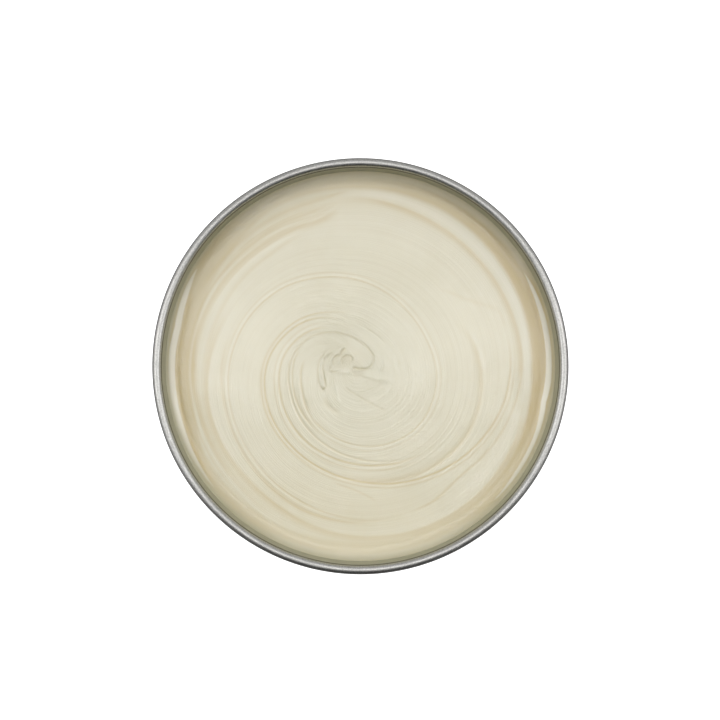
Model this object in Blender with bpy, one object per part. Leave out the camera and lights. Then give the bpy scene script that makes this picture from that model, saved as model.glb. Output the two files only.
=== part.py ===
"""A round shoe polish tin, open and full, standing in its own upturned press-on lid.

Metres, +Z up. The origin is the centre of the lid's underside, on the table.
The lid lies under the tin with its skirt up, and the tin lifts straight out of it along +Z.
Every piece is turned about the Z axis from an outline of (radius, height) points.
"""

import math

import bmesh
import bpy

# Driving dimensions
RIM_RADIUS = 0.0420  # outside of the tin's rolled rim
TIN_HEIGHT = 0.0255  # from the tin's foot to the top of its rim
SHEET = 0.00025  # gauge of the tinplate
FIT_GAP = 0.0003  # room left between pieces that touch

# Tin
RIM_ROLL = 0.0008  # radius of the rolled rim's section
WALL_DRAFT = 0.04  # how far the wall leans in for each unit of depth
FOOT_CORNER = 0.0018  # outside radius between wall and foot
FOOT_INNER = 0.0335  # where the foot ring ends and the bottom panel starts to rise
PANEL_RISE = 0.0012  # how far the bottom panel stands above the foot
PANEL_RAMP = 0.0010  # width of the slope between foot and panel

# Polish
FILL_DEPTH = 0.0090  # from the top of the rim down to the polish
MENISCUS_WIDTH = 0.0015  # where the polish climbs the wall
MENISCUS_RISE = 0.0006

# Lid
LID_CLEARANCE = 0.00015  # between the rolled rim and the lid's skirt when closed
LID_CORNER = 0.0012  # outside radius between panel and skirt
LID_SKIRT = 0.0086  # from the panel to the middle of the skirt's rolled edge
LID_ROLL = 0.0007  # radius of the rolled edge's section
LID_RECESS = 0.0006  # how far the middle of the panel is set in
SNAP_HEIGHT = 0.0037  # the groove that snaps under the tin's rolled rim
SNAP_HALF_WIDTH = 0.0010
SNAP_DEPTH = 0.0004
SEAL_THICKNESS = 0.0005
SEAL_INNER = 0.0400

SEGMENTS = 64  # facets round each turned piece
ROLL_END = -110.0  # the angle at which a rolled edge stops short of the wall
ROLL_STEPS = 8
CORNER_STEPS = 4
SNAP_STEPS = 4

# Worked out from the dimensions above
LID_INNER = RIM_RADIUS + LID_CLEARANCE
FOOT_Z = SHEET + FIT_GAP
RIM_Z = FOOT_Z + TIN_HEIGHT
MOUTH_RADIUS = RIM_RADIUS - 2 * RIM_ROLL
ROLL_CENTRE_Z = RIM_Z - RIM_ROLL
POLISH_Z = RIM_Z - FILL_DEPTH


def clear_scene():
    for thing in list(bpy.data.objects):
        bpy.data.objects.remove(thing)


def make_material(name, colour, roughness, metallic):
    material = bpy.data.materials.new(name)
    material.use_nodes = True
    shader = material.node_tree.nodes["Principled BSDF"]
    shader.inputs["Base Color"].default_value = (*colour, 1.0)
    shader.inputs["Roughness"].default_value = roughness
    shader.inputs["Metallic"].default_value = metallic
    material.diffuse_color = (*colour, 1.0)
    return material


def arc(centre, radius, start, end, steps):
    """Points of an arc in the (radius, height) plane, between two angles in degrees."""
    points = []
    for i in range(steps + 1):
        angle = math.radians(start + (end - start) * i / steps)
        points.append((centre[0] + radius * math.cos(angle), centre[1] + radius * math.sin(angle)))
    return points


def rolled_edge(centre, outer_radius):
    """The rolled edge of a sheet: up over its outside from the wall, and back inside the roll."""
    outside = arc(centre, outer_radius, 180.0, ROLL_END, ROLL_STEPS)
    inside = arc(centre, outer_radius - SHEET, ROLL_END, 180.0, ROLL_STEPS)
    return outside + inside


def wall_radius(z):
    """Inside radius of the tin's leaning wall at a height."""
    return MOUTH_RADIUS - WALL_DRAFT * (ROLL_CENTRE_Z - z)


def foot_corner_arc(inset, start, end):
    """The corner between wall and foot, on the surface that lies inset from the sheet's outside."""
    centre_z = FOOT_Z + FOOT_CORNER
    centre_r = wall_radius(centre_z) + SHEET - FOOT_CORNER
    return arc((centre_r, centre_z), FOOT_CORNER - inset, start, end, CORNER_STEPS)


def turned(name, outline, material):
    """Turns an outline that starts and ends on the axis, or a closed ring outline, into a solid."""
    shape = bmesh.new()
    points = [shape.verts.new((r, 0.0, z)) for r, z in outline]
    edges = [shape.edges.new(pair) for pair in zip(points, points[1:])]
    if outline[0][0] > 0.0:
        edges.append(shape.edges.new((points[-1], points[0])))
    bmesh.ops.spin(
        shape,
        geom=points + edges,
        cent=(0.0, 0.0, 0.0),
        axis=(0.0, 0.0, 1.0),
        angle=math.tau,
        steps=SEGMENTS,
        use_merge=True,
    )
    bmesh.ops.remove_doubles(shape, verts=shape.verts[:], dist=1e-6)
    bmesh.ops.recalc_face_normals(shape, faces=shape.faces[:])
    mesh = bpy.data.meshes.new(name)
    shape.to_mesh(mesh)
    shape.free()
    mesh.shade_smooth()
    mesh.set_sharp_from_angle(angle=math.radians(35.0))
    mesh.materials.append(material)
    solid = bpy.data.objects.new(name, mesh)
    bpy.context.scene.collection.objects.link(solid)
    return solid


def make_tin_base(material):
    """Drawn cup: raised bottom panel, foot ring, leaning wall and a rim rolled outwards."""
    panel_z = FOOT_Z + PANEL_RISE
    inside = [(0.0, panel_z + SHEET), (FOOT_INNER - PANEL_RAMP, panel_z + SHEET), (FOOT_INNER, FOOT_Z + SHEET)]
    inside += foot_corner_arc(SHEET, -90.0, 0.0)
    rim = rolled_edge((MOUTH_RADIUS + RIM_ROLL, ROLL_CENTRE_Z), RIM_ROLL)
    outside = foot_corner_arc(0.0, 0.0, -90.0)
    outside += [(FOOT_INNER, FOOT_Z), (FOOT_INNER - PANEL_RAMP, panel_z), (0.0, panel_z)]
    return turned("tin_base", inside + rim + outside, material)


def make_polish(material):
    """The cake of polish: it fills the tin, lies level and climbs a little at the wall."""
    floor_z = FOOT_Z + PANEL_RISE + SHEET + FIT_GAP
    edge_z = POLISH_Z + MENISCUS_RISE
    edge_radius = wall_radius(edge_z) - FIT_GAP
    top = [(0.0, POLISH_Z), (edge_radius - MENISCUS_WIDTH, POLISH_Z)]
    top += [(edge_radius - MENISCUS_WIDTH / 3, POLISH_Z + MENISCUS_RISE / 3), (edge_radius, edge_z)]
    corner = foot_corner_arc(SHEET + FIT_GAP, 0.0, -90.0)
    bottom = [(FOOT_INNER, FOOT_Z + SHEET + FIT_GAP), (FOOT_INNER - PANEL_RAMP, floor_z), (0.0, floor_z)]
    return turned("polish", top + corner + bottom, material)


def snap_groove(surface_radius, direction):
    """The groove pressed into the skirt, on one of its surfaces, going up (1) or down (-1)."""
    points = []
    for i in range(SNAP_STEPS + 1):
        along = direction * (2 * i / SNAP_STEPS - 1)
        depth = SNAP_DEPTH * (1 + math.cos(math.pi * along)) / 2
        points.append((surface_radius - depth, SNAP_HEIGHT + along * SNAP_HALF_WIDTH))
    return points


def make_lid_shell(material):
    """Drawn lid, upturned: the rim of its panel lies on the table and its skirt stands up."""
    corner = (LID_INNER + SHEET - LID_CORNER, LID_CORNER)
    ramp_end = FOOT_INNER - 2 * PANEL_RAMP
    inside = [(0.0, LID_RECESS + SHEET), (ramp_end, LID_RECESS + SHEET), (FOOT_INNER - PANEL_RAMP, SHEET)]
    inside += arc(corner, LID_CORNER - SHEET, -90.0, 0.0, CORNER_STEPS)
    inside += snap_groove(LID_INNER, 1)
    edge = rolled_edge((LID_INNER + LID_ROLL, LID_SKIRT), LID_ROLL)
    outside = snap_groove(LID_INNER + SHEET, -1)
    outside += arc(corner, LID_CORNER, 0.0, -90.0, CORNER_STEPS)
    outside += [(FOOT_INNER - PANEL_RAMP, 0.0), (ramp_end, LID_RECESS), (0.0, LID_RECESS)]
    return turned("lid_shell", inside + edge + outside, material)


def make_lid_seal(material):
    """Ring of sealing compound in the lid's corner, where the closed tin's rim presses."""
    bottom = SHEET + FIT_GAP
    outer = LID_INNER + SHEET - LID_CORNER
    chamfer = SEAL_THICKNESS / 2
    outline = [
        (SEAL_INNER, bottom),
        (SEAL_INNER, bottom + SEAL_THICKNESS),
        (outer + chamfer, bottom + SEAL_THICKNESS),
        (outer + chamfer, bottom + chamfer),
        (outer, bottom),
    ]
    return turned("lid_seal", outline, material)


def main():
    clear_scene()
    tinplate = make_material("tinplate", (0.62, 0.62, 0.59), 0.30, 1.0)
    lid_plate = make_material("lid_plate", (0.60, 0.60, 0.58), 0.32, 1.0)
    wax = make_material("polish", (0.73, 0.68, 0.53), 0.35, 0.0)
    compound = make_material("seal", (0.42, 0.43, 0.42), 0.60, 0.0)
    make_lid_shell(lid_plate)
    make_lid_seal(compound)
    make_tin_base(tinplate)
    make_polish(wax)


main()
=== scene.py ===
"""Looks for an open tin of cream shoe polish, seen from straight above, standing in its upturned lid.

The polish was stirred while it set, so most of its tan streaks and low ridges follow one spiral round
an "eye" near the middle. Lengths are in metres, and values times MM are given in millimetres. The
strokes, the painted highlights, the outer band and the constants listed under "On the polish's surface"
are in plain millimetres. Angles of strokes are in degrees, anticlockwise from +X, and run past 360.
"""

import math

import bpy
import numpy as np
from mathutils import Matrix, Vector, noise


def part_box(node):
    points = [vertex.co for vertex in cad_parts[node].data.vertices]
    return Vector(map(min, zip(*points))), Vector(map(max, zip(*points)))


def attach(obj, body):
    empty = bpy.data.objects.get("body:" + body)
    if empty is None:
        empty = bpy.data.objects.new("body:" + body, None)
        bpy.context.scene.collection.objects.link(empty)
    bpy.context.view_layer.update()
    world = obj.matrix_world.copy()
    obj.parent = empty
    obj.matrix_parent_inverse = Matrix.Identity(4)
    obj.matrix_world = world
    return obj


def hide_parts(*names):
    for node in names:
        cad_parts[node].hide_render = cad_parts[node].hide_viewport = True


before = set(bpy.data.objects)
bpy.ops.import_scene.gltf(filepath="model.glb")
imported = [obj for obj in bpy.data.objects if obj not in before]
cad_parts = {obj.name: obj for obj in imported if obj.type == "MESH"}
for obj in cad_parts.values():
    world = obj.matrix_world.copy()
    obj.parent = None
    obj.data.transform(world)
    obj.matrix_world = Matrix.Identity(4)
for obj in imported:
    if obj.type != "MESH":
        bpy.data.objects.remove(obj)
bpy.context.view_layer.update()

MM = 0.001

# The frame's own places
RIM_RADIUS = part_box("tin_base")[1].x
RIM_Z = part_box("tin_base")[1].z
FOOT_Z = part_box("tin_base")[0].z
LID_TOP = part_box("lid_shell")[1].z
SEAL_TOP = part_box("lid_seal")[1].z
POLISH_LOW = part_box("polish")[0].z
POLISH_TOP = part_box("polish")[1].z

# Tin
SHEET = 0.25 * MM
RIM_ROLL = 0.8 * MM
ROLL_STRETCH = 1.12
MOUTH_RADIUS = RIM_RADIUS - 2 * RIM_ROLL * ROLL_STRETCH
ROLL_CENTRE_Z = RIM_Z - RIM_ROLL
WALL_DRAFT = 0.02
FOOT_CORNER = 1.8 * MM
FOOT_INNER = 33.5 * MM
PANEL_RISE = 1.2 * MM
PANEL_RAMP = 1.0 * MM

# Lid
LID_INNER = RIM_RADIUS + 0.15 * MM
LID_CORNER = 1.2 * MM
LID_ROLL = 0.7 * MM
LID_SKIRT = LID_TOP - LID_ROLL
LID_PANEL_RADIUS = 32.5 * MM
LID_RECESS = 0.6 * MM
SNAP_HEIGHT = 3.7 * MM
SNAP_HALF_WIDTH = 1.0 * MM
SNAP_DEPTH = 0.4 * MM
SEAL_INNER = 40.0 * MM
SEAL_WALL_GAP = 0.35 * MM

ROUND_SEGMENTS = 288
ROLL_END = -110

# Where the lacquer on the inside of the wall ends, and where the painted shade under the roll begins
LINING_TOP_Z = ROLL_CENTRE_Z + 0.35 * MM
LINING_FADE = 0.3 * MM
ROLL_SHADE_LOW_Z = RIM_Z - 2.4 * MM
ROLL_SHADE_FADE = 0.8 * MM

# Rings of the wall's mesh, from this far below the rim up to the roll
WALL_RINGS_DEPTH = 6 * MM
WALL_RINGS = 26

# Polish: its middle is level, and near the wall it climbs in an arc, ending in a thin film on the metal
POLISH_Z = POLISH_TOP - 0.6 * MM
MENISCUS_SHARE = 0.075
MENISCUS_END = 52
FILM_RISE = 1.5 * MM
SIDE_GAP = 0.02 * MM
MENISCUS_RINGS = 26
LEVEL_RINGS = 230
POLISH_SEGMENTS = 360
RELIEF = 0.45
MIDDLE_TAN = 0.12
# Strength of the painted shade in the middle of the polish
MIDDLE_PAINTED_SHADE = 0.72
TWIN_TAN = 0.5
TWIN_PALENESS = 0.25

# On the polish's surface, in plain millimetres
EYE = (-2.6, 1.0)
MIDDLE = (0.0, 0.0)
MIDDLE_REACH = 15.0
EYE_REACH = 4.0
BAND_EDGE_SHIFT = 0.4
BAND_EDGE_WIDTH = 1.1
# Where the darkening at the wall begins: partly the lacquer under the thin film, partly painted shade
FILM_START = 38.8
FILM_START_SWING = 0.3
FILM_WIDTH = 1.4
FILM_OVERLAP = 0.02
TWIN_WIDTH = 0.22
# Softness of the edges of the painted highlights on the climb at the wall
HIGHLIGHT_EDGE_WIDTH = 0.25

# Camera, at an assumed distance above the rim
CAMERA_HEIGHT = 350 * MM
CAMERA_PLACE = (-0.08 * MM, 1.26 * MM)
CAMERA_LENS = 86.97
CAMERA_SENSOR = 36

# Strength of the white that the camera sees behind the tin
WHITE_STRENGTH = 1.6


# ---------------------------------------------------------------- turned metal

def arc(centre, radius, start, end, steps):
    """Points of an arc in the (radius, height) plane, between two angles in degrees."""
    angles = np.radians(np.linspace(start, end, steps + 1))
    return [(centre[0] + radius * math.cos(a), centre[1] + radius * math.sin(a)) for a in angles]


def rolled_edge(centre, outer_radius, stretch=1.0):
    """A sheet's edge rolled outwards: over its outside from the wall, and back inside the roll.
    stretch is how much wider than high the roll is."""
    outside = arc(centre, outer_radius, 180, ROLL_END, 40)
    inside = arc(centre, outer_radius - SHEET, ROLL_END, 180, 40)
    wide = [(centre[0] + (r - centre[0]) * stretch, z) for r, z in outside]
    hollow = [(centre[0] + (r - centre[0]) * stretch, z) for r, z in inside]
    return wide + hollow


def pressed_step(radius, low, high):
    """A smooth step in a pressed panel, from its middle (high) out to its ring (low)."""
    points = []
    for s in np.linspace(0, 1, 9):
        height = low + (high - low) * (1 + math.cos(math.pi * s)) / 2
        points.append((radius - PANEL_RAMP * (1 - s), height))
    return points


def wall_radius(z):
    """Inside radius of the tin's leaning wall at a height."""
    return MOUTH_RADIUS - WALL_DRAFT * (ROLL_CENTRE_Z - z)


def foot_corner_arc(inset, start, end):
    """The corner between wall and foot, on the surface that lies inset from the sheet's outside."""
    centre_z = FOOT_Z + FOOT_CORNER
    centre_r = wall_radius(centre_z) + SHEET - FOOT_CORNER
    return arc((centre_r, centre_z), FOOT_CORNER - inset, start, end, 10)


def snap_groove(surface_radius, direction):
    """The groove pressed into the skirt, on one of its surfaces, going up (1) or down (-1)."""
    points = []
    for along in direction * np.linspace(-1, 1, 15):
        depth = SNAP_DEPTH * (1 + math.cos(math.pi * along)) / 2
        points.append((surface_radius - depth, SNAP_HEIGHT + along * SNAP_HALF_WIDTH))
    return points


def new_piece(name, vertices, faces, sharp_angle=40):
    """An object from a mesh, shaded smooth except at edges sharper than an angle."""
    mesh = bpy.data.meshes.new(name)
    mesh.from_pydata(vertices, [], faces)
    mesh.shade_smooth()
    mesh.set_sharp_from_angle(angle=math.radians(sharp_angle))
    piece = bpy.data.objects.new(name, mesh)
    bpy.context.scene.collection.objects.link(piece)
    return piece


def turned(name, outline):
    """A solid turned about Z. An outline that starts on the axis also ends on it; others are closed rings.
    The outline runs with the metal on its right, so that the faces point out."""
    segments = ROUND_SEGMENTS
    capped = outline[0][0] == 0.0
    rings = outline[1:-1] if capped else outline
    turns = np.linspace(0, math.tau, segments, endpoint=False)
    vertices = [(r * math.cos(t), r * math.sin(t), z) for r, z in rings for t in turns]
    faces = []
    for i in range(len(rings) - 1 if capped else len(rings)):
        low = i * segments
        high = (i + 1) % len(rings) * segments
        for j in range(segments):
            k = (j + 1) % segments
            faces.append((low + j, high + j, high + k, low + k))
    if capped:
        first = len(vertices)
        last = first + 1
        vertices += [(0, 0, outline[0][1]), (0, 0, outline[-1][1])]
        end = (len(rings) - 1) * segments
        for j in range(segments):
            k = (j + 1) % segments
            faces.append((first, j, k))
            faces.append((last, end + k, end + j))
    return new_piece(name, vertices, faces)


def make_tin_shell():
    panel_z = FOOT_Z + PANEL_RISE
    inside = [(0.0, panel_z + SHEET)]
    inside += pressed_step(FOOT_INNER, FOOT_Z + SHEET, panel_z + SHEET)
    inside += foot_corner_arc(SHEET, -90, 0)
    wall_levels = np.linspace(RIM_Z - WALL_RINGS_DEPTH, ROLL_CENTRE_Z, WALL_RINGS + 1)[:-1]
    inside += [(wall_radius(z), z) for z in wall_levels]
    rim = rolled_edge((RIM_RADIUS - RIM_ROLL * ROLL_STRETCH, ROLL_CENTRE_Z), RIM_ROLL, ROLL_STRETCH)
    outside = foot_corner_arc(0, 0, -90)
    outside += pressed_step(FOOT_INNER, FOOT_Z, panel_z)[::-1]
    outside += [(0.0, panel_z)]
    piece = turned("tin_shell", inside + rim + outside)
    first_outside = (len(inside) + len(rim) - 1) * ROUND_SEGMENTS
    mark_lining(piece, first_outside)
    return piece


def mark_lining(piece, first_outside):
    """Marks the lacquered inside of the tin, and the painted shade, near black, at the top of it under the
    roll.
    The vertices from first_outside on are the outside and are left bare, apart from the last but one,
    which is the middle of the floor inside."""
    heights = np.array([v.co.z for v in piece.data.vertices])
    radii = np.array([math.hypot(v.co.x, v.co.y) for v in piece.data.vertices])
    inner = smooth_step((wall_radius(heights) + 0.6 * SHEET - radii) / (0.1 * MM))
    inner[first_outside:-2] = 0
    inner[-1] = 0
    lining = inner * smooth_step((LINING_TOP_Z - heights) / LINING_FADE)
    # Painted shade under the roll, on the top of the lining
    roll_shade = smooth_step((heights - ROLL_SHADE_LOW_Z) / ROLL_SHADE_FADE)
    store_attribute(piece, "lining", "FLOAT", lining)
    store_attribute(piece, "roll_shade", "FLOAT", lining * roll_shade)


def make_lid_plate():
    corner = (LID_INNER + SHEET - LID_CORNER, LID_CORNER)
    inside = [(0.0, LID_RECESS + SHEET)]
    inside += pressed_step(LID_PANEL_RADIUS, SHEET, LID_RECESS + SHEET)
    inside += arc(corner, LID_CORNER - SHEET, -90, 0, 10)
    inside += snap_groove(LID_INNER, 1)
    edge = rolled_edge((LID_INNER + LID_ROLL, LID_SKIRT), LID_ROLL)
    outside = snap_groove(LID_INNER + SHEET, -1)
    outside += arc(corner, LID_CORNER, 0, -90, 10)
    outside += pressed_step(LID_PANEL_RADIUS, 0.0, LID_RECESS)[::-1]
    outside += [(0.0, LID_RECESS)]
    return turned("lid_plate", inside + edge + outside)


def make_sealing_ring():
    """Compound flowed into the lid's corner, a low bead with rounded shoulders."""
    outer = LID_INNER - SEAL_WALL_GAP
    middle = (SEAL_INNER + outer) / 2
    half_width = (outer - SEAL_INNER) / 2
    height = SEAL_TOP - SHEET
    points = []
    for angle in np.radians(np.linspace(180, 0, 25)):
        across = middle + half_width * math.cos(angle)
        points.append((across, SHEET + height * math.sin(angle) ** 0.5))
    return turned("sealing_ring", points)


# ---------------------------------------------------------------- strokes in the polish

def stroke(knots, centre=EYE, inward=0.2, outward=0.2, tan=0.0, pale=0.0, groove=0.0, lip=0.0,
           fade_in=20, fade_out=20, twin=0.0):
    """One line left by the stirring: its radius at each turning angle, and what it does to the polish.
    inward and outward are its widths on either side, groove and lip its depth and its outer ridge, and
    twin is how far outside it a fainter copy runs."""
    return dict(knots=knots, centre=centre, inward=inward, outward=outward, tan=tan, pale=pale,
                groove=groove, lip=lip, fade_in=fade_in, fade_out=fade_out, twin=twin)


def hairlines():
    """Thin tan lines."""
    return [
        stroke([(200, 10.3), (225, 12.6), (255, 15.4), (285, 18.2), (315, 19.7), (345, 18.9), (380, 16.6),
                (410, 16.1), (440, 16.8), (465, 18.0), (495, 20.5), (540, 24.3), (585, 27.9), (630, 32.4),
                (660, 35.5)], tan=0.5, groove=0.012, lip=0.005, fade_in=60, fade_out=60, twin=0.9),
        stroke([(165, 24.7), (180, 25.9), (195, 26.7), (210, 27.7), (225, 29.1), (240, 30.7), (252, 32.0),
                (265, 32.9), (281, 33.4), (295, 33.6)],
               inward=0.4, outward=0.35, tan=0.5, groove=0.01, fade_out=40),
        stroke([(99, 32.7), (107, 32.0), (120, 32.3), (135, 33.2), (147, 34.2)], centre=MIDDLE,
               tan=0.4, fade_in=6, fade_out=20),
        stroke([(104, 31.9), (120, 31.3), (135, 31.7), (150, 32.5), (165, 33.3)], centre=MIDDLE,
               tan=0.35, fade_in=10, fade_out=20),
        stroke([(104, 33.9), (120, 34.1), (135, 34.6), (150, 35.3)], centre=MIDDLE,
               tan=0.3, fade_in=10, fade_out=20),
        stroke([(118, 7.9), (150, 10.8), (180, 13.6), (210, 15.8), (240, 18.4), (270, 20.9), (300, 23.7),
                (312, 24.8)], inward=0.25, outward=0.3, tan=0.65, groove=0.012, lip=0.006, twin=1.0),
        stroke([(100, 8.4), (127, 11.1), (157, 14.0), (180, 16.5), (210, 19.0), (240, 21.3), (270, 24.3),
                (300, 28.2), (330, 32.0), (345, 33.3), (360, 33.6), (372, 33.3)],
               inward=0.25, outward=0.3, tan=0.75, groove=0.015, lip=0.006, fade_in=40, twin=0.8),
        stroke([(372, 33.3), (380, 32.1), (383, 30.1), (388, 27.5), (396, 24.8), (402, 22.8)],
               inward=0.4, outward=0.4, tan=0.18, fade_in=2, fade_out=12),
        stroke([(85, 9.8), (100, 10.3), (113, 11.0), (130, 12.4), (150, 14.2), (165, 15.5), (180, 17.1),
                (210, 19.6), (240, 22.0), (255, 23.2)], tan=0.45, groove=0.008, fade_in=25),
        stroke([(172, 8.6), (187, 9.5), (200, 10.3), (215, 11.4), (228, 12.7), (240, 13.9)],
               inward=0.25, outward=0.3, tan=0.65, groove=0.04, lip=0.015),
        stroke([(160, 9.8), (180, 11.1), (195, 11.9), (215, 13.2), (235, 14.8), (250, 16.0)],
               tan=0.55, groove=0.03, lip=0.012),
        stroke([(212, 12.7), (227, 13.7), (247, 14.7), (262, 15.3)], inward=0.5, outward=0.4, tan=0.25),
        stroke([(262, 25.0), (275, 27.1), (280, 28.8), (282, 29.9)], tan=0.35, groove=0.01,
               fade_in=5, fade_out=3),
    ]


def soft_bands():
    """Broad streaks, tan or pale."""
    return [
        stroke([(262, 23.2), (285, 25.7), (300, 27.3), (315, 28.4), (330, 28.9), (345, 28.4), (360, 27.1),
                (370, 25.9), (378, 24.4), (382, 23.0)], inward=0.7, outward=0.4, tan=0.38, groove=0.03),
        stroke([(345, 29.3), (352, 28.7), (360, 27.9), (370, 26.6), (376, 25.6)],
               inward=0.3, outward=0.5, pale=0.6),
        stroke([(96, 33.3), (100, 32.1), (105, 31.3), (120, 31.8), (135, 32.4), (150, 33.3), (165, 34.0),
                (180, 34.5), (195, 34.6), (210, 34.8), (225, 35.1), (240, 35.9), (255, 36.5)],
               centre=MIDDLE, inward=0.8, outward=0.5, tan=0.6, fade_in=8, fade_out=50, twin=1.3),
        stroke([(98, 34.5), (105, 33.5), (120, 33.6), (135, 34.0), (150, 34.6), (165, 35.3)],
               centre=MIDDLE, inward=0.5, outward=0.4, tan=0.45, fade_in=10, fade_out=20),
        stroke([(108, 30.6), (120, 30.5), (135, 31.2), (150, 32.1), (165, 32.9)],
               centre=MIDDLE, inward=0.3, outward=0.4, pale=0.3, fade_in=10, fade_out=20),
        stroke([(112, 29.6), (130, 29.7), (150, 30.6), (170, 31.6), (185, 32.6)],
               centre=MIDDLE, inward=0.4, outward=0.5, tan=0.3, fade_in=12, fade_out=20),
        stroke([(92, 36.1), (105, 35.3), (120, 35.4), (140, 35.8), (160, 36.6)],
               centre=MIDDLE, inward=0.4, outward=0.6, tan=0.35, fade_in=10, fade_out=20),
        stroke([(150, 29.0), (165, 30.1), (180, 31.3), (195, 32.4), (210, 32.8), (225, 33.0), (240, 33.6),
                (250, 34.3), (260, 34.9), (275, 35.5), (290, 35.9), (308, 36.0), (325, 35.7), (337, 35.3),
                (345, 34.5), (350, 33.7)], centre=MIDDLE, inward=0.4, outward=1.0, tan=0.62, fade_in=30),
        stroke([(165, 29.7), (180, 30.9), (195, 31.8), (210, 32.3), (225, 32.6)], centre=MIDDLE,
               inward=0.5, outward=0.3, pale=0.5),
        stroke([(287, 31.8), (300, 31.6), (306, 31.0), (312, 30.7), (322, 31.3), (332, 32.0), (342, 32.6),
                (352, 33.1), (360, 33.3)], centre=MIDDLE, inward=0.3, outward=0.25, tan=0.45,
               groove=0.02, fade_in=10, fade_out=8),
        stroke([(352, 33.1), (360, 33.3), (375, 33.1), (390, 32.9), (405, 32.9), (420, 33.1),
                (435, 33.7), (447, 34.5), (457, 34.9), (461, 35.3)], centre=MIDDLE,
               inward=0.9, outward=0.35, tan=0.7, groove=0.03, fade_in=8, fade_out=25),
        stroke([(452, 36.3), (457, 36.0), (461, 35.5)], centre=MIDDLE, tan=0.35, fade_in=6, fade_out=1),
        stroke([(-15, 34.6), (20, 34.6), (60, 34.6), (85, 35.5), (105, 35.4)], centre=MIDDLE,
               inward=0.8, outward=0.9, pale=0.55, fade_in=10, fade_out=25),
        stroke([(303, 33.7), (320, 33.8), (335, 34.0), (346, 33.8)], centre=MIDDLE,
               inward=1.3, outward=1.2, pale=0.5, fade_in=15, fade_out=4),
        stroke([(22, 39.3), (45, 39.6), (67, 39.4), (90, 39.1), (112, 39.2), (145, 38.6)], centre=MIDDLE,
               inward=1.3, outward=1.1, pale=0.65, fade_in=12, fade_out=25),
        stroke([(235, 39.3), (270, 39.2), (315, 39.3)], centre=MIDDLE, inward=0.7, outward=1.2,
               pale=0.5, fade_in=15, fade_out=20),
    ]


def broad_tints():
    """Wide places where more of the tan was stirred in, or less of it."""
    return [
        stroke([(200, 30.0), (250, 31.0), (310, 30.0)], centre=MIDDLE, inward=9.0, outward=7.0, tan=0.12,
               fade_in=30, fade_out=30),
        stroke([(50, 35.5), (90, 35.0), (155, 34.0)], centre=MIDDLE, inward=3.5, outward=3.5, tan=0.22,
               fade_in=25, fade_out=20),
        stroke([(165, 28.5), (250, 28.5)], centre=MIDDLE, inward=4.0, outward=3.0, pale=0.25, fade_in=25,
               fade_out=25),
        stroke([(-60, 31.5), (90, 31.5), (240, 31.5)], centre=MIDDLE, inward=4.0, outward=3.5, pale=0.22,
               fade_in=30, fade_out=30),
        stroke([(200, 34.5), (270, 35.5), (335, 34.0)], centre=MIDDLE, inward=2.5, outward=2.5, pale=0.3,
               fade_in=25, fade_out=25),
    ]


def painted_highlights():
    """Painted highlights on the climb at the wall, at the left and right: each one's strength, then angles
    with the two edges there.
    """
    return [
        (0.9, [(150, 39.1, 39.3), (155, 38.6, 39.5), (160, 38.3, 39.4), (168, 37.9, 39.1),
               (175, 38.2, 39.5), (190, 38.4, 39.6), (200, 38.5, 39.7), (210, 38.8, 39.5),
               (219, 39.1, 39.2)]),
        (0.95, [(315, 39.0, 39.1), (325, 38.6, 39.3), (340, 38.5, 39.3), (345, 38.2, 39.2),
                (349, 38.0, 39.0), (355, 38.2, 39.4), (360, 38.3, 39.4), (375, 38.4, 39.4),
                (385, 38.6, 39.2), (390, 38.8, 38.9)]),
    ]


def creases_and_painted_shade():
    """Dark lines in the climb at the wall, most with a shallow groove; where they run beside the painted
    highlights, their tan is painted shade.
    """
    return [
        stroke([(150, 38.9), (160, 37.9), (168, 37.4), (180, 37.8), (195, 38.0), (210, 38.4), (222, 38.8)],
               centre=MIDDLE, inward=0.6, outward=0.35, tan=0.95, groove=0.1, fade_in=12, fade_out=15),
        stroke([(165, 40.0), (200, 40.0), (240, 39.9)], centre=MIDDLE, inward=0.5, outward=0.8, tan=0.8,
               fade_in=15, fade_out=20),
        stroke([(330, 38.2), (345, 37.9), (360, 38.0), (375, 38.1), (390, 38.5), (405, 38.4), (420, 38.5),
                (435, 38.7), (450, 39.0)], centre=MIDDLE, inward=0.8, outward=0.2, tan=0.6,
               groove=0.06, fade_in=15, fade_out=20),
    ]


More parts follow.
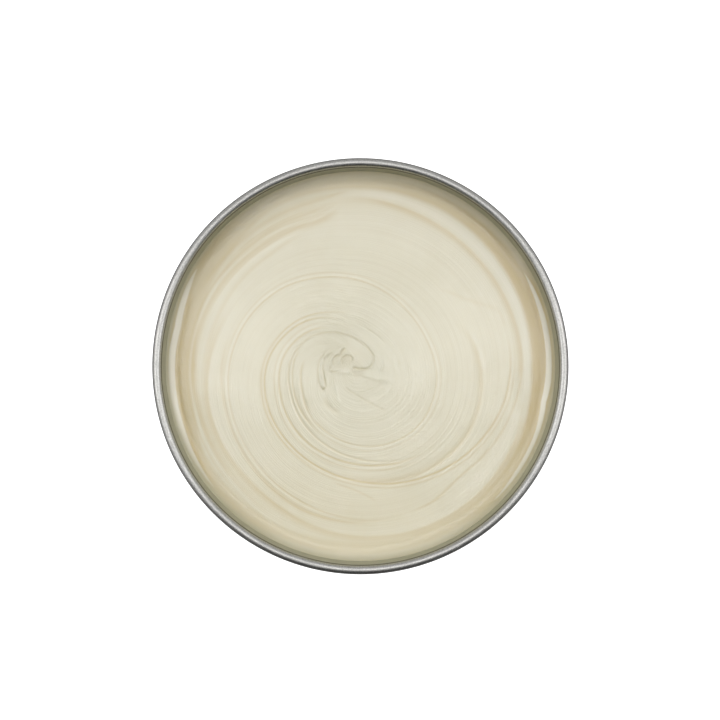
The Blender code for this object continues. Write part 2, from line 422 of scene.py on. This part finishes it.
def eye_strokes():
    """Hooks, folds and rays that start close to the eye."""
    return [
        stroke([(300, 1.9), (318, 2.2), (330, 3.2), (345, 4.7), (360, 5.3), (390, 5.0), (420, 4.9),
                (450, 5.4), (480, 6.9), (510, 9.4), (540, 11.8), (570, 13.6), (600, 16.3), (630, 19.6),
                (660, 23.4), (676, 25.7)], tan=0.42, groove=0.05, lip=0.018, fade_in=8, fade_out=40),
        stroke([(300, 1.9), (318, 2.2), (330, 3.2), (342, 4.4)], inward=0.4, outward=0.3, tan=0.12,
               groove=0.05, fade_in=8, fade_out=10),
        # A fold's raised tongue; its pale colour is a painted highlight along the ridge
        stroke([(139, 4.0), (150, 4.3), (165, 4.9), (180, 5.3), (195, 5.8), (210, 6.3), (222, 7.0),
                (230, 7.4)], inward=0.4, outward=0.45, pale=0.7, groove=-0.3, fade_in=20, fade_out=3),
        stroke([(139, 4.0), (150, 4.3), (165, 4.8), (180, 5), (195, 5.4), (210, 5.8), (222, 6.4),
                (231, 7.2)], inward=0.2, outward=0.2, tan=0.65, groove=0.16, fade_in=15, fade_out=3),
        stroke([(148, 4.5), (160, 5.0), (172, 5.5), (195, 6.3), (211, 7.0), (224, 7.7), (232, 7.8)],
               inward=0.2, outward=0.25, tan=0.5, groove=0.12, fade_in=15, fade_out=3),
        stroke([(95, 2.8), (120, 2.3), (140, 2.0), (160, 2.7), (175, 3.1), (190, 3.2), (200, 3.7),
                (208, 4.1)], tan=0.3, groove=0.08, lip=0.04, fade_in=15, fade_out=10),
        stroke([(208, 4.1), (214, 3.9), (222, 3.3), (232, 2.3)], tan=0.25, groove=0.06, fade_in=3,
               fade_out=8),
        stroke([(105, 3.3), (120, 2.9), (150, 2.9), (170, 3.2), (187, 3.5), (206, 3.3)], inward=0.2,
               outward=0.3, pale=0.6, groove=-0.05, fade_in=10, fade_out=10),
        stroke([(-8, 0.7), (63, 1.1), (120, 1.1), (215, 1.3)], tan=0.2, groove=0.06, lip=0.03,
               fade_in=30, fade_out=30),
        stroke([(60, 1.5), (120, 1.6), (160, 1.7), (206, 2.1)], inward=0.15, outward=0.15, pale=0.5,
               groove=-0.04, fade_in=20, fade_out=20),
        stroke([(210, 3.2), (247, 2.3), (290, 2.2)], inward=0.6, outward=0.5, pale=0.5, groove=-0.04,
               fade_in=15, fade_out=15),
        stroke([(287, 2.4), (300, 3.3), (312, 4.7), (322, 7.1), (331, 9.5), (338, 11.5)],
               inward=0.6, outward=0.9, tan=0.15, groove=0.035, fade_in=6, fade_out=15),
        stroke([(260, 5.3), (272, 6.0), (282, 7.0), (291, 8.3), (297, 9.5), (302, 10.9), (306, 12.3),
                (310, 13.8)], tan=0.3, groove=0.03, fade_in=10, fade_out=8),
        stroke([(340, 7.1), (355, 7.2), (372, 7.1)], inward=0.3, outward=0.2, pale=0.6, groove=-0.05,
               fade_in=8, fade_out=8),
        stroke([(235, 8.2), (242, 9.6), (252, 10.5), (264, 10.8)], inward=0.6, outward=0.5, tan=0.3,
               groove=0.06, fade_in=8, fade_out=8),
        stroke([(242, 5.5), (250, 6.7), (257, 8.2), (262, 9.1)], inward=0.3, outward=0.3, pale=0.5,
               groove=-0.03, fade_in=5, fade_out=5),
        stroke([(80, 7.3), (100, 7.8), (120, 8.9), (135, 10.3)], tan=0.15, groove=0.02),
        stroke([(85, 8.5), (105, 9.2), (125, 10.8)], tan=0.12, groove=0.02),
    ]


def smooth_step(value):
    clamped = np.clip(value, 0, 1)
    return clamped * clamped * (3 - 2 * clamped)


def smooth_curve(knots):
    """A smooth curve through (angle, radius) knots: angles a degree apart, and the radii there."""
    angles, radii = np.array(knots, float).T
    slopes = np.gradient(radii, angles)
    samples = np.arange(angles[0], angles[-1] + 0.5, 1.0)
    spans = np.clip(np.searchsorted(angles, samples, "right") - 1, 0, len(angles) - 2)
    width = angles[spans + 1] - angles[spans]
    s = (samples - angles[spans]) / width
    value = (1 + 2 * s) * (1 - s) ** 2 * radii[spans] + s * s * (3 - 2 * s) * radii[spans + 1]
    value += width * (s * (1 - s) ** 2 * slopes[spans] - s * s * (1 - s) * slopes[spans + 1])
    return samples, value


def polar(points, centre):
    """Angle in degrees and radius of points (in mm) about a centre."""
    offset = points - np.array(centre)
    return np.degrees(np.arctan2(offset[:, 1], offset[:, 0])), np.hypot(offset[:, 0], offset[:, 1])


def draw_stroke(points, item, fields):
    """Adds one stroke to the tan, pale and height fields of the points."""
    samples, radii = smooth_curve(item["knots"])
    slopes = np.gradient(radii, np.radians(samples))
    angle, radius = polar(points, item["centre"])
    first_turn = math.floor((samples[0] + 180) / 360)
    last_turn = math.floor((samples[-1] + 180) / 360)
    for turn in range(first_turn, last_turn + 1):
        along = angle + 360 * turn
        near = (along >= samples[0]) & (along <= samples[-1])
        along = along[near]
        path = np.interp(along, samples, radii)
        lean = np.arctan(np.interp(along, samples, slopes) / path)
        distance = (radius[near] - path) * np.cos(lean)
        width = np.where(distance > 0, item["outward"], item["inward"])
        fade = smooth_step((along - samples[0]) / item["fade_in"])
        fade *= smooth_step((samples[-1] - along) / item["fade_out"])
        line = np.exp(-(distance / width) ** 2) * fade
        ridge = np.exp(-((distance - 1.9 * item["outward"]) / item["outward"]) ** 2) * fade
        fields["tan"][near] = 1 - (1 - fields["tan"][near]) * (1 - item["tan"] * line)
        if item["twin"]:
            copy = np.exp(-((distance - item["twin"]) / TWIN_WIDTH) ** 2) * fade
            gap = np.exp(-((distance - 0.5 * item["twin"]) / TWIN_WIDTH) ** 2) * fade
            fields["tan"][near] = 1 - (1 - fields["tan"][near]) * (1 - TWIN_TAN * item["tan"] * copy)
            fields["pale"][near] = 1 - (1 - fields["pale"][near]) * (1 - TWIN_PALENESS * gap)
        fields["pale"][near] = 1 - (1 - fields["pale"][near]) * (1 - item["pale"] * line)
        fields["height"][near] += RELIEF * (item["lip"] * ridge - item["groove"] * line)


def draw_painted_highlight(angle, radius, strength, edges, fields):
    """Lifts the pale field of the points between a painted highlight's two edges."""
    turns, inner, outer = np.array(edges).T
    along = np.where(angle < turns[0] - 1, angle + 360, angle)
    low = np.interp(along, turns, inner, left=99, right=99)
    high = np.interp(along, turns, outer, left=0, right=0)
    cover = smooth_step((radius - low) / HIGHLIGHT_EDGE_WIDTH + 0.5)
    cover *= smooth_step((high - radius) / HIGHLIGHT_EDGE_WIDTH + 0.5)
    fields["pale"] = np.maximum(fields["pale"], strength * cover)


# ---------------------------------------------------------------- the polish

# The tan band along the wall: its inner radius and its strength at each turning angle
OUTER_BAND = [(0, 35.0, 1.0), (30, 35.4, 1.0), (60, 36.0, 0.75), (90, 36.4, 0.6), (110, 37.0, 0.55),
              (120, 37.0, 0.5), (130, 36.0, 0.5), (140, 35.3, 0.55), (160, 34.4, 0.65), (180, 33.9, 0.8),
              (195, 35.2, 0.6), (210, 36.8, 0.45), (240, 36.8, 0.4), (260, 36.2, 0.35), (300, 36.4, 0.42),
              (330, 36.2, 0.75), (345, 35.6, 1.0), (360, 35.0, 1.0)]
SPIRAL_PITCH = 20.0
SPIRAL = [(90, 0.0), (300, 22.0), (330, 22.4), (360, 20.8), (405, 19.2), (420, 19.2), (450, 20.0)]
FLOW_STRETCH = 39.0
FLOW_END = 0.985


def flow_field(angle, share):
    """Where a point lies in the spiral that the polish was stirred along: a place across the strands,
    as a point on a circle, and a slow place along them. share is 0 at the eye and 1 at the wall."""
    outwards = FLOW_STRETCH * np.arctanh(FLOW_END * share)
    samples, advance = smooth_curve(SPIRAL)
    across = outwards - np.interp((angle - 90) % 360 + 90, samples, advance)
    phase = math.tau * across / SPIRAL_PITCH
    return np.stack([np.cos(phase), np.sin(phase), outwards / SPIRAL_PITCH], axis=1)


def undulation(points):
    """The slow unevenness of a surface that set in a tin, in mm."""
    return np.array([noise.noise(Vector((x / 11, y / 11, 3.7))) * 0.05 +
                     noise.noise(Vector((x / 4.5, y / 4.5, 9.1))) * 0.012 for x, y in points])


def ring_shares():
    """How far out each ring of the polish lies, from 0 at the eye to 1 at the wall."""
    level = np.linspace(0, 1 - MENISCUS_SHARE, LEVEL_RINGS + 1)[1:]
    climb = np.sin(np.radians(np.linspace(0, MENISCUS_END, MENISCUS_RINGS + 1)[1:]))
    return np.concatenate([level, 1 - MENISCUS_SHARE * (1 - climb / climb[-1])])


def meniscus(share, reach, angle):
    """Height of the climb at the wall, in mm. reach is the distance from the eye to the wall."""
    turns = np.radians(angle)
    wobble = 0.93 + 0.04 * np.sin(5 * turns + 1) + 0.03 * np.sin(9 * turns)
    width = MENISCUS_SHARE * reach * wobble
    radius = width / math.sin(math.radians(MENISCUS_END))
    across = np.clip((share - 1) * reach + width, 0, None)
    return radius - np.sqrt(radius ** 2 - across ** 2)


def film_and_painted_shade(angle, radius, middle, eye_distance):
    """Where the polish is painted darker and greyer: in the thin film on the wall, partly the lacquer
    showing through and partly painted shade, strongest at the left and right, and softly in the middle,
    where it is painted shade, but less so at the eye."""
    turns = np.radians(angle)
    film = smooth_step((radius - FILM_START - FILM_START_SWING * np.sin(turns)) / FILM_WIDTH)
    film *= 0.75 + 0.25 * np.cos(2 * turns) - 0.15 * np.cos(turns - math.radians(20))
    less_shade_at_eye = 1 - 0.5 * np.exp(-(eye_distance / EYE_REACH) ** 2)
    return np.maximum(film, MIDDLE_PAINTED_SHADE * middle * less_shade_at_eye)


def buried_outline():
    """The cake's side and bottom, which follow the inside of the tin's corner and raised panel."""
    gap = POLISH_LOW - FOOT_Z - SHEET
    side = np.linspace(POLISH_Z, FOOT_Z + FOOT_CORNER + 1 * MM, 3)
    outline = [(wall_radius(z) - SIDE_GAP, z) for z in side]
    outline += foot_corner_arc(SHEET + gap, 0, -90)[::2]
    outline += pressed_step(FOOT_INNER, POLISH_LOW, POLISH_LOW + PANEL_RISE)[::-2]
    return outline


def surface_fields(points, angle, radius, middle):
    """The tan, pale and height fields of the polish's surface. height is what strokes add, in mm."""
    fields = {key: np.zeros(len(points)) for key in ("tan", "pale", "height")}
    for item in hairlines() + soft_bands() + eye_strokes() + broad_tints() + creases_and_painted_shade():
        draw_stroke(points, item, fields)
    fields["tan"] = 1 - (1 - fields["tan"]) * (1 - MIDDLE_TAN * middle)
    # Painted highlights on the climb at the left and right, lifting the pale field
    for strength, edges in painted_highlights():
        draw_painted_highlight(angle, radius, strength, edges, fields)
    band_angle, band_edge, band_strength = np.array(OUTER_BAND).T
    band_start = np.interp(angle % 360, band_angle, band_edge) - BAND_EDGE_SHIFT
    band = smooth_step((radius - band_start) / BAND_EDGE_WIDTH)
    band *= np.interp(angle % 360, band_angle, band_strength)
    fields["tan"] = 1 - (1 - fields["tan"]) * (1 - band)
    return fields


def cake_faces(ring_count, bottom):
    """Faces between the cake's rings, closed by the eye (vertex 0) and the middle of the bottom."""
    faces = []
    last = 1 + (ring_count - 1) * POLISH_SEGMENTS
    for j in range(POLISH_SEGMENTS):
        k = (j + 1) % POLISH_SEGMENTS
        faces.append((0, 1 + j, 1 + k))
        faces.append((bottom, last + k, last + j))
    for i in range(ring_count - 1):
        low = 1 + i * POLISH_SEGMENTS
        high = low + POLISH_SEGMENTS
        for j in range(POLISH_SEGMENTS):
            k = (j + 1) % POLISH_SEGMENTS
            faces.append((low + j, high + j, high + k, low + k))
    return faces


def make_polish_cake():
    """The set polish: rings that slide from the eye to the wall, closed by a side and a bottom."""
    film_z = POLISH_Z + FILM_RISE
    wall = wall_radius(film_z) / MM + FILM_OVERLAP
    turns = np.linspace(0, math.tau, POLISH_SEGMENTS, endpoint=False)
    edge = wall * np.stack([np.cos(turns), np.sin(turns)], axis=1)
    shares = ring_shares()
    eye = np.array(EYE)
    points = (eye + shares[:, None, None] * (edge - eye)[None]).reshape(-1, 2)
    points = np.vstack([eye[None], points])
    share = np.concatenate([[0.0], np.repeat(shares, POLISH_SEGMENTS)])
    reach = np.hypot(*(edge - eye).T)
    reach = np.concatenate([reach[:1], np.tile(reach, len(shares))])

    angle, radius = polar(points, MIDDLE)
    middle = np.exp(-(radius / MIDDLE_REACH) ** 2)
    fields = surface_fields(points, angle, radius, middle)
    level = smooth_step((1 - share) / MENISCUS_SHARE)
    height = fields["height"] + undulation(points) * level + meniscus(share, reach, angle)
    vertices = np.column_stack([points * MM, POLISH_Z + height * MM])

    buried = buried_outline()
    for r, z in buried:
        vertices = np.vstack([vertices, np.column_stack([edge / wall * r, np.full(len(edge), z)])])
    ring_count = len(shares) + len(buried)
    bottom = len(vertices)
    vertices = np.vstack([vertices, [[0, 0, buried[-1][1]]]])
    faces = cake_faces(ring_count, bottom)

    piece = new_piece("polish_cake", vertices.tolist(), faces, sharp_angle=75)
    eye_angle, eye_distance = polar(points, EYE)
    flow = flow_field(eye_angle, share)
    extra = len(vertices) - len(points)
    store_attribute(piece, "tan", "FLOAT", np.concatenate([fields["tan"], np.full(extra, 0.5)]))
    store_attribute(piece, "pale", "FLOAT", np.concatenate([fields["pale"], np.zeros(extra)]))
    # Painted shade in the middle, and at the wall the thin film's olive with painted shade
    film_and_shade = film_and_painted_shade(angle, radius, middle, eye_distance)
    store_attribute(piece, "film_and_shade", "FLOAT", np.concatenate([film_and_shade, np.ones(extra)]))
    store_attribute(piece, "flow", "FLOAT_VECTOR", np.vstack([flow, np.repeat(flow[-1:], extra, axis=0)]))
    return piece


def store_attribute(piece, name, kind, values):
    attribute = piece.data.attributes.new(name, kind, "POINT")
    key = "vector" if kind == "FLOAT_VECTOR" else "value"
    attribute.data.foreach_set(key, np.asarray(values, np.float32).ravel())


# ---------------------------------------------------------------- materials

class Recipe:
    """A node material under construction."""

    def __init__(self, name):
        self.material = bpy.data.materials.new(name)
        self.material.use_nodes = True
        self.tree = self.material.node_tree
        self.tree.nodes.clear()
        self.shader = self.add("ShaderNodeBsdfPrincipled")
        output = self.add("ShaderNodeOutputMaterial")
        self.tree.links.new(self.shader.outputs["BSDF"], output.inputs["Surface"])

    def add(self, kind, settings=None, **inputs):
        """A node, with its settings and the values or links of its inputs (underscores for spaces)."""
        node = self.tree.nodes.new(kind)
        for key, value in (settings or {}).items():
            setattr(node, key, value)
        for key, value in inputs.items():
            self.put(node, key.replace("_", " "), value)
        return node

    def put(self, node, socket, value):
        if isinstance(value, bpy.types.NodeSocket):
            self.tree.links.new(value, node.inputs[socket])
        else:
            node.inputs[socket].default_value = value

    def math(self, operation, first, second):
        node = self.add("ShaderNodeMath", {"operation": operation})
        self.put(node, 0, first)
        self.put(node, 1, second)
        return node.outputs[0]

    def mix(self, factor, first, second):
        """A colour between two."""
        node = self.add("ShaderNodeMix", {"data_type": "RGBA"})
        self.put(node, 0, factor)
        self.put(node, 6, first)
        self.put(node, 7, second)
        return node.outputs[2]

    def span(self, value, low, high, to_low, to_high):
        """A value moved from one range to another, and kept inside it."""
        node = self.add("ShaderNodeMapRange", Value=value, From_Min=low, From_Max=high,
                        To_Min=to_low, To_Max=to_high)
        return node.outputs["Result"]

    def noise(self, vector, scale, detail, roughness):
        node = self.add("ShaderNodeTexNoise", Vector=vector, Scale=scale, Detail=detail,
                        Roughness=roughness)
        return node.outputs["Fac"]

    def attribute(self, name, output="Fac"):
        return self.add("ShaderNodeAttribute", {"attribute_name": name}).outputs[output]

    def bump(self, height, distance):
        node = self.add("ShaderNodeBump", Height=height, Distance=distance, Strength=1.0)
        return node.outputs["Normal"]

    def turned_place(self):
        """A point's place as (radius, height, angle), for marks that run round a turned piece."""
        place = self.add("ShaderNodeTexCoord").outputs["Object"]
        parts = self.add("ShaderNodeSeparateXYZ", Vector=place)
        flat = self.add("ShaderNodeCombineXYZ", X=parts.outputs["X"], Y=parts.outputs["Y"])
        length = self.add("ShaderNodeVectorMath", {"operation": "LENGTH"})
        self.put(length, 0, flat.outputs[0])
        angle = self.math("ARCTAN2", parts.outputs["Y"], parts.outputs["X"])
        return length.outputs["Value"], parts.outputs["Z"], angle


def polish_material():
    r = Recipe("set_polish")
    flow = r.attribute("flow", "Vector")
    place = r.add("ShaderNodeTexCoord").outputs["Object"]
    strands = r.noise(flow, 3.5, 4.0, 0.6)
    fine = r.noise(flow, 11.0, 3.0, 0.6)
    cloud = r.noise(place, 90.0, 2.0, 0.5)
    cream = r.mix(r.span(cloud, 0.3, 0.7, 0, 1), (0.73, 0.68, 0.50, 1), (0.755, 0.71, 0.53, 1))
    streaked = r.mix(r.span(strands, 0.45, 0.75, 0, 0.2), cream, (0.61, 0.52, 0.32, 1))
    # The tan field is pigment, except in the dark lines beside the painted highlights on the climb, where
    # it is painted shade
    tanned = r.mix(r.attribute("tan"), streaked, (0.59, 0.46, 0.20, 1))
    # The pale field is paler polish in the streaks, and painted highlights on the climb at the left and
    # right
    paled_and_highlighted = r.mix(r.attribute("pale"), tanned, (0.84, 0.795, 0.64, 1))
    # Darker and greyer: painted shade in the middle, and at the wall partly the lacquer under the thin
    # film and partly painted shade
    filmed_and_shaded = r.mix(r.attribute("film_and_shade"), paled_and_highlighted, (0.555, 0.528, 0.365, 1))
    r.put(r.shader, "Base Color", filmed_and_shaded)
    r.put(r.shader, "Roughness", r.span(strands, 0.3, 0.7, 0.13, 0.18))
    r.shader.inputs["Specular IOR Level"].default_value = 1.0
    r.shader.inputs["IOR"].default_value = 1.65
    r.shader.inputs["Subsurface Weight"].default_value = 0.12
    r.shader.inputs["Subsurface Radius"].default_value = (1.0, 0.8, 0.5)
    r.shader.inputs["Subsurface Scale"].default_value = 0.6 * MM
    r.put(r.shader, "Normal", r.bump(r.math("ADD", strands, fine), 0.02 * MM))
    return r.material


def tinplate_material(name, tone, roughness):
    """Rolled sheet: a fine grain and faint drawing marks round it, with olive lacquer where the piece is
    marked as lining, and painted shade, near black, where it is marked as shade under the roll."""
    r = Recipe(name)
    radius, height, angle = r.turned_place()
    marks_at = r.add("ShaderNodeCombineXYZ", X=r.math("MULTIPLY", radius, 3.0),
                     Y=r.math("MULTIPLY", height, 3.0), Z=r.math("MULTIPLY", angle, 0.02))
    marks = r.noise(marks_at.outputs[0], 900.0, 3.0, 0.6)
    place = r.add("ShaderNodeTexCoord").outputs["Object"]
    grain = r.noise(place, 3200.0, 2.0, 0.6)
    dark = tuple(c * 0.86 for c in tone) + (1,)
    light = tuple(c * 1.12 for c in tone) + (1,)
    bare = r.mix(r.span(grain, 0.35, 0.65, 0, 1), dark, light)
    lacquered = r.mix(r.span(marks, 0.3, 0.7, 0, 1), (0.35, 0.345, 0.25, 1), (0.56, 0.55, 0.41, 1))
    lining = r.attribute("lining")
    coloured = r.mix(lining, bare, lacquered)
    # Painted shade, near black, on the lining just under the roll
    r.put(r.shader, "Base Color", r.mix(r.attribute("roll_shade"), coloured, (0.10, 0.098, 0.07, 1)))
    r.put(r.shader, "Metallic", r.span(lining, 0, 1, 1.0, 0.0))
    r.put(r.shader, "Specular IOR Level", r.span(lining, 0, 1, 0.5, 0.03))
    r.put(r.shader, "Roughness", r.span(marks, 0.3, 0.7, roughness - 0.06, roughness + 0.06))
    r.put(r.shader, "Normal", r.bump(r.math("ADD", grain, marks), 0.012 * MM))
    return r.material


def seal_material():
    r = Recipe("sealing_compound")
    place = r.add("ShaderNodeTexCoord").outputs["Object"]
    grain = r.noise(place, 1500.0, 3.0, 0.6)
    r.put(r.shader, "Base Color", r.mix(grain, (0.36, 0.35, 0.32, 1), (0.46, 0.45, 0.42, 1)))
    r.shader.inputs["Roughness"].default_value = 0.65
    r.put(r.shader, "Normal", r.bump(grain, 0.02 * MM))
    return r.material


# ---------------------------------------------------------------- stage, light and camera

def floor_material():
    """White to the camera, so that no shadow shows, and a dim grey to everything it would light."""
    material = bpy.data.materials.new("studio_floor")
    material.use_nodes = True
    nodes = material.node_tree.nodes
    links = material.node_tree.links
    nodes.clear()
    seen = nodes.new("ShaderNodeLightPath")
    white = nodes.new("ShaderNodeEmission")
    white.inputs["Strength"].default_value = WHITE_STRENGTH
    grey = nodes.new("ShaderNodeBsdfDiffuse")
    grey.inputs["Color"].default_value = (0.25, 0.25, 0.25, 1)
    either = nodes.new("ShaderNodeMixShader")
    output = nodes.new("ShaderNodeOutputMaterial")
    links.new(seen.outputs["Is Camera Ray"], either.inputs[0])
    links.new(grey.outputs[0], either.inputs[1])
    links.new(white.outputs[0], either.inputs[2])
    links.new(either.outputs[0], output.inputs["Surface"])
    return material


def make_floor():
    bpy.ops.mesh.primitive_circle_add(vertices=96, radius=1.6, fill_type="NGON", location=(0, 0, 0))
    floor = bpy.context.object
    floor.name = "floor"
    floor.data.materials.append(floor_material())


def make_world():
    """White behind everything for the camera, and for the light a room that is brighter towards +Y, and
    a little towards +X and -X."""
    world = bpy.data.worlds.new("room")
    bpy.context.scene.world = world
    world.use_nodes = True
    nodes = world.node_tree.nodes
    links = world.node_tree.links
    nodes.clear()
    seen = nodes.new("ShaderNodeLightPath")
    room = nodes.new("ShaderNodeBackground")
    direction = nodes.new("ShaderNodeSeparateXYZ")
    links.new(nodes.new("ShaderNodeTexCoord").outputs["Generated"], direction.inputs[0])
    northward = nodes.new("ShaderNodeMapRange")
    northward.inputs["From Min"].default_value = -0.8
    northward.inputs["From Max"].default_value = 0.8
    northward.inputs["To Min"].default_value = 0.03
    northward.inputs["To Max"].default_value = 0.6
    links.new(direction.outputs["Y"], northward.inputs["Value"])
    sideways = nodes.new("ShaderNodeMath")
    sideways.operation = "POWER"
    sideways.inputs[1].default_value = 4.0
    links.new(direction.outputs["X"], sideways.inputs[0])
    both = nodes.new("ShaderNodeMath")
    both.operation = "MULTIPLY_ADD"
    both.inputs[1].default_value = 0.35
    links.new(sideways.outputs[0], both.inputs[0])
    links.new(northward.outputs[0], both.inputs[2])
    links.new(both.outputs[0], room.inputs["Strength"])
    backdrop = nodes.new("ShaderNodeBackground")
    backdrop.inputs["Strength"].default_value = WHITE_STRENGTH
    either = nodes.new("ShaderNodeMixShader")
    output = nodes.new("ShaderNodeOutputWorld")
    links.new(seen.outputs["Is Camera Ray"], either.inputs[0])
    links.new(room.outputs[0], either.inputs[1])
    links.new(backdrop.outputs[0], either.inputs[2])
    links.new(either.outputs[0], output.inputs["Surface"])


def softbox(name, place, width, length, radiance, in_reflections=True):
    """A rectangular light of a given brightness, facing the middle of the rim."""
    data = bpy.data.lights.new(name, "AREA")
    data.shape = "RECTANGLE"
    data.size = width
    data.size_y = length
    data.energy = radiance * math.pi * width * length
    light = bpy.data.objects.new(name, data)
    bpy.context.scene.collection.objects.link(light)
    light.location = place
    towards = Vector((0, 0, RIM_Z)) - Vector(place)
    light.rotation_euler = towards.to_track_quat("-Z", "Y").to_euler()
    light.visible_camera = False
    light.visible_glossy = in_reflections


def make_lights():
    softbox("left_panel", (-0.35, 0.0, 0.50), 0.32, 0.32, 1.8)
    softbox("right_panel", (0.35, 0.0, 0.50), 0.32, 0.32, 1.8)
    softbox("left_inner_panel", (-0.10, 0.03, 0.62), 0.08, 0.34, 1.4)
    softbox("right_inner_panel", (0.10, 0.03, 0.62), 0.08, 0.34, 1.4)
    softbox("near_panel", (0, -0.14, 0.62), 0.12, 0.12, 1.0)
    softbox("north_panel", (0, 0.21, 0.62), 0.24, 0.24, 1.1)
    softbox("fill", (0, 0.14, 0.62), 0.6, 0.6, 1.05, in_reflections=False)


def make_camera():
    """Looking straight down, 1.3 mm off the tin's axis."""
    data = bpy.data.cameras.new("camera")
    data.lens = CAMERA_LENS
    data.sensor_width = CAMERA_SENSOR
    camera = bpy.data.objects.new("camera", data)
    camera.location = (*CAMERA_PLACE, RIM_Z + CAMERA_HEIGHT)
    bpy.context.scene.collection.objects.link(camera)
    bpy.context.scene.camera = camera


# ---------------------------------------------------------------- the whole scene

def dress(piece, material, body, node):
    piece.data.materials.append(material)
    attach(piece, body)
    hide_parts(node)


def make_object():
    tin_metal = tinplate_material("tinplate", (0.62, 0.615, 0.59), 0.36)
    lid_metal = tinplate_material("lid_plate", (0.50, 0.495, 0.47), 0.28)
    dress(make_tin_shell(), tin_metal, "tin", "tin_base")
    dress(make_polish_cake(), polish_material(), "tin", "polish")
    dress(make_lid_plate(), lid_metal, "lid", "lid_shell")
    dress(make_sealing_ring(), seal_material(), "lid", "lid_seal")


make_object()
make_floor()
make_world()
make_lights()
make_camera()
bpy.context.scene.view_settings.view_transform = "Standard"
